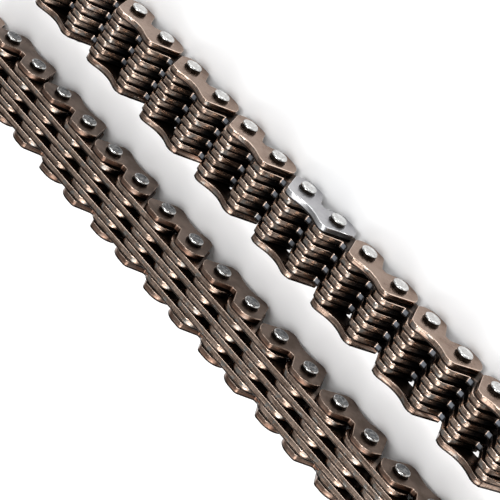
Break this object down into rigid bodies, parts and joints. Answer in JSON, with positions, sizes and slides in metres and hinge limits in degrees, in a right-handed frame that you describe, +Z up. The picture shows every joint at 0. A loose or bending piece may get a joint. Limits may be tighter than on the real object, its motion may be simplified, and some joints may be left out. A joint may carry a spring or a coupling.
{
  "type": "timing chain",
  "caption": "Straight lengths of inverted-tooth timing chain: laced toothed link plates and waisted guide plates on riveted pins, every row hinged to the next, with a bright timing plate.",
  "frame": {"origin": "centre of the bounding box in plan, on the plane that both lengths rest on", "axes": "+X along the lengths of chain, +Y along the pins towards the timing plate's side, +Z up"},
  "size_m": [0.1164, 0.0284, 0.0068],
  "materials": {
    "plates": "bronze-brown oil-finished steel, satin faces and bright worn edges",
    "timing_plate": "light satin plating",
    "pins": "bright ground steel"
  },
  "bodies": {
    "middle_guide_rows": {"timing_plate": "timing_plate", "timing_row_rear_guide_plate": "plates", "timing_row_inner_link_1": "plates", "timing_row_inner_link_2": "plates", "timing_row_inner_link_3": "plates", "timing_row_pin_1": "pins", "timing_row_pin_2": "pins", "back_up_row_10_plates": "plates", "back_up_row_10_pins": "pins"},
    "teeth_up_row_11": {"beside_timing_row_link_1": "plates", "beside_timing_row_link_2": "plates", "beside_timing_row_link_3": "plates", "beside_timing_row_link_4": "plates"},
    "teeth_up_row_12": {"teeth_up_row_12_plates": "plates", "teeth_up_row_12_pins": "pins"},
    "teeth_up_row_13": {"teeth_up_row_13_links": "plates"},
    "teeth_up_row_14": {"teeth_up_row_14_plates": "plates", "teeth_up_row_14_pins": "pins"},
    "teeth_up_row_15": {"teeth_up_row_15_links": "plates"},
    "teeth_up_row_16": {"teeth_up_row_16_plates": "plates", "teeth_up_row_16_pins": "pins"},
    "teeth_up_row_17": {"teeth_up_row_17_links": "plates"},
    "teeth_up_row_09": {"teeth_up_row_09_links": "plates"},
    "teeth_up_row_08": {"teeth_up_row_08_plates": "plates", "teeth_up_row_08_pins": "pins"},
    "teeth_up_row_07": {"teeth_up_row_07_links": "plates"},
    "teeth_up_row_06": {"teeth_up_row_06_plates": "plates", "teeth_up_row_06_pins": "pins"},
    "teeth_up_row_05": {"teeth_up_row_05_links": "plates"},
    "teeth_up_row_04": {"teeth_up_row_04_plates": "plates", "teeth_up_row_04_pins": "pins"},
    "teeth_up_row_03": {"teeth_up_row_03_links": "plates"},
    "teeth_up_row_02": {"teeth_up_row_02_plates": "plates", "teeth_up_row_02_pins": "pins"},
    "teeth_up_row_01": {"teeth_up_row_01_links": "plates"},
    "back_up_row_11": {"back_up_row_11_links": "plates"},
    "back_up_row_12": {"back_up_row_12_plates": "plates", "back_up_row_12_pins": "pins"},
    "back_up_row_13": {"back_up_row_13_links": "plates"},
    "back_up_row_14": {"back_up_row_14_plates": "plates", "back_up_row_14_pins": "pins"},
    "back_up_row_15": {"back_up_row_15_links": "plates"},
    "back_up_row_16": {"back_up_row_16_plates": "plates", "back_up_row_16_pins": "pins"},
    "back_up_row_17": {"back_up_row_17_links": "plates"},
    "back_up_row_09": {"back_up_row_09_links": "plates"},
    "back_up_row_08": {"back_up_row_08_plates": "plates", "back_up_row_08_pins": "pins"},
    "back_up_row_07": {"back_up_row_07_links": "plates"},
    "back_up_row_06": {"back_up_row_06_plates": "plates", "back_up_row_06_pins": "pins"},
    "back_up_row_05": {"back_up_row_05_links": "plates"},
    "back_up_row_04": {"back_up_row_04_plates": "plates", "back_up_row_04_pins": "pins"},
    "back_up_row_03": {"back_up_row_03_links": "plates"},
    "back_up_row_02": {"back_up_row_02_plates": "plates", "back_up_row_02_pins": "pins"},
    "back_up_row_01": {"back_up_row_01_links": "plates"}
  },
  "joints": [
    {"name": "teeth_up_hinge_10_11", "type": "hinge", "parent": "middle_guide_rows", "child": "teeth_up_row_11", "pos_m": [0.01082, 0.0088, 0.00295], "axis": [0, 1, 0], "range_deg": [-30, 5]},
    {"name": "teeth_up_hinge_11_12", "type": "hinge", "parent": "teeth_up_row_11", "child": "teeth_up_row_12", "pos_m": [0.01717, 0.0088, 0.00295], "axis": [0, 1, 0], "range_deg": [-30, 5]},
    {"name": "teeth_up_hinge_12_13", "type": "hinge", "parent": "teeth_up_row_12", "child": "teeth_up_row_13", "pos_m": [0.02353, 0.0088, 0.00295], "axis": [0, 1, 0], "range_deg": [-30, 5]},
    {"name": "teeth_up_hinge_13_14", "type": "hinge", "parent": "teeth_up_row_13", "child": "teeth_up_row_14", "pos_m": [0.02987, 0.0088, 0.00295], "axis": [0, 1, 0], "range_deg": [-30, 5]},
    {"name": "teeth_up_hinge_14_15", "type": "hinge", "parent": "teeth_up_row_14", "child": "teeth_up_row_15", "pos_m": [0.03623, 0.0088, 0.00295], "axis": [0, 1, 0], "range_deg": [-30, 5]},
    {"name": "teeth_up_hinge_15_16", "type": "hinge", "parent": "teeth_up_row_15", "child": "teeth_up_row_16", "pos_m": [0.04258, 0.0088, 0.00295], "axis": [0, 1, 0], "range_deg": [-30, 5]},
    {"name": "teeth_up_hinge_16_17", "type": "hinge", "parent": "teeth_up_row_16", "child": "teeth_up_row_17", "pos_m": [0.04893, 0.0088, 0.00295], "axis": [0, 1, 0], "range_deg": [-30, 5]},
    {"name": "teeth_up_hinge_09_10", "type": "hinge", "parent": "middle_guide_rows", "child": "teeth_up_row_09", "pos_m": [0.00447, 0.0088, 0.00295], "axis": [0, 1, 0], "range_deg": [-5, 30]},
    {"name": "teeth_up_hinge_08_09", "type": "hinge", "parent": "teeth_up_row_09", "child": "teeth_up_row_08", "pos_m": [-0.00187, 0.0088, 0.00295], "axis": [0, 1, 0], "range_deg": [-5, 30]},
    {"name": "teeth_up_hinge_07_08", "type": "hinge", "parent": "teeth_up_row_08", "child": "teeth_up_row_07", "pos_m": [-0.00822, 0.0088, 0.00295], "axis": [0, 1, 0], "range_deg": [-5, 30]},
    {"name": "teeth_up_hinge_06_07", "type": "hinge", "parent": "teeth_up_row_07", "child": "teeth_up_row_06", "pos_m": [-0.01457, 0.0088, 0.00295], "axis": [0, 1, 0], "range_deg": [-5, 30]},
    {"name": "teeth_up_hinge_05_06", "type": "hinge", "parent": "teeth_up_row_06", "child": "teeth_up_row_05", "pos_m": [-0.02092, 0.0088, 0.00295], "axis": [0, 1, 0], "range_deg": [-5, 30]},
    {"name": "teeth_up_hinge_04_05", "type": "hinge", "parent": "teeth_up_row_05", "child": "teeth_up_row_04", "pos_m": [-0.02728, 0.0088, 0.00295], "axis": [0, 1, 0], "range_deg": [-5, 30]},
    {"name": "teeth_up_hinge_03_04", "type": "hinge", "parent": "teeth_up_row_04", "child": "teeth_up_row_03", "pos_m": [-0.03363, 0.0088, 0.00295], "axis": [0, 1, 0], "range_deg": [-5, 30]},
    {"name": "teeth_up_hinge_02_03", "type": "hinge", "parent": "teeth_up_row_03", "child": "teeth_up_row_02", "pos_m": [-0.03997, 0.0088, 0.00295], "axis": [0, 1, 0], "range_deg": [-5, 30]},
    {"name": "teeth_up_hinge_01_02", "type": "hinge", "parent": "teeth_up_row_02", "child": "teeth_up_row_01", "pos_m": [-0.04632, 0.0088, 0.00295], "axis": [0, 1, 0], "range_deg": [-5, 30]},
    {"name": "back_up_hinge_10_11", "type": "hinge", "parent": "middle_guide_rows", "child": "back_up_row_11", "pos_m": [0.00822, -0.0088, 0.0038], "axis": [0, 1, 0], "range_deg": [-5, 30]},
    {"name": "back_up_hinge_11_12", "type": "hinge", "parent": "back_up_row_11", "child": "back_up_row_12", "pos_m": [0.01457, -0.0088, 0.0038], "axis": [0, 1, 0], "range_deg": [-5, 30]},
    {"name": "back_up_hinge_12_13", "type": "hinge", "parent": "back_up_row_12", "child": "back_up_row_13", "pos_m": [0.02092, -0.0088, 0.0038], "axis": [0, 1, 0], "range_deg": [-5, 30]},
    {"name": "back_up_hinge_13_14", "type": "hinge", "parent": "back_up_row_13", "child": "back_up_row_14", "pos_m": [0.02728, -0.0088, 0.0038], "axis": [0, 1, 0], "range_deg": [-5, 30]},
    {"name": "back_up_hinge_14_15", "type": "hinge", "parent": "back_up_row_14", "child": "back_up_row_15", "pos_m": [0.03363, -0.0088, 0.0038], "axis": [0, 1, 0], "range_deg": [-5, 30]},
    {"name": "back_up_hinge_15_16", "type": "hinge", "parent": "back_up_row_15", "child": "back_up_row_16", "pos_m": [0.03997, -0.0088, 0.0038], "axis": [0, 1, 0], "range_deg": [-5, 30]},
    {"name": "back_up_hinge_16_17", "type": "hinge", "parent": "back_up_row_16", "child": "back_up_row_17", "pos_m": [0.04632, -0.0088, 0.0038], "axis": [0, 1, 0], "range_deg": [-5, 30]},
    {"name": "back_up_hinge_09_10", "type": "hinge", "parent": "middle_guide_rows", "child": "back_up_row_09", "pos_m": [0.00187, -0.0088, 0.0038], "axis": [0, 1, 0], "range_deg": [-30, 5]},
    {"name": "back_up_hinge_08_09", "type": "hinge", "parent": "back_up_row_09", "child": "back_up_row_08", "pos_m": [-0.00447, -0.0088, 0.0038], "axis": [0, 1, 0], "range_deg": [-30, 5]},
    {"name": "back_up_hinge_07_08", "type": "hinge", "parent": "back_up_row_08", "child": "back_up_row_07", "pos_m": [-0.01082, -0.0088, 0.0038], "axis": [0, 1, 0], "range_deg": [-30, 5]},
    {"name": "back_up_hinge_06_07", "type": "hinge", "parent": "back_up_row_07", "child": "back_up_row_06", "pos_m": [-0.01717, -0.0088, 0.0038], "axis": [0, 1, 0], "range_deg": [-30, 5]},
    {"name": "back_up_hinge_05_06", "type": "hinge", "parent": "back_up_row_06", "child": "back_up_row_05", "pos_m": [-0.02353, -0.0088, 0.0038], "axis": [0, 1, 0], "range_deg": [-30, 5]},
    {"name": "back_up_hinge_04_05", "type": "hinge", "parent": "back_up_row_05", "child": "back_up_row_04", "pos_m": [-0.02987, -0.0088, 0.0038], "axis": [0, 1, 0], "range_deg": [-30, 5]},
    {"name": "back_up_hinge_03_04", "type": "hinge", "parent": "back_up_row_04", "child": "back_up_row_03", "pos_m": [-0.03623, -0.0088, 0.0038], "axis": [0, 1, 0], "range_deg": [-30, 5]},
    {"name": "back_up_hinge_02_03", "type": "hinge", "parent": "back_up_row_03", "child": "back_up_row_02", "pos_m": [-0.04258, -0.0088, 0.0038], "axis": [0, 1, 0], "range_deg": [-30, 5]},
    {"name": "back_up_hinge_01_02", "type": "hinge", "parent": "back_up_row_02", "child": "back_up_row_01", "pos_m": [-0.04893, -0.0088, 0.0038], "axis": [0, 1, 0], "range_deg": [-30, 5]}
  ]
}
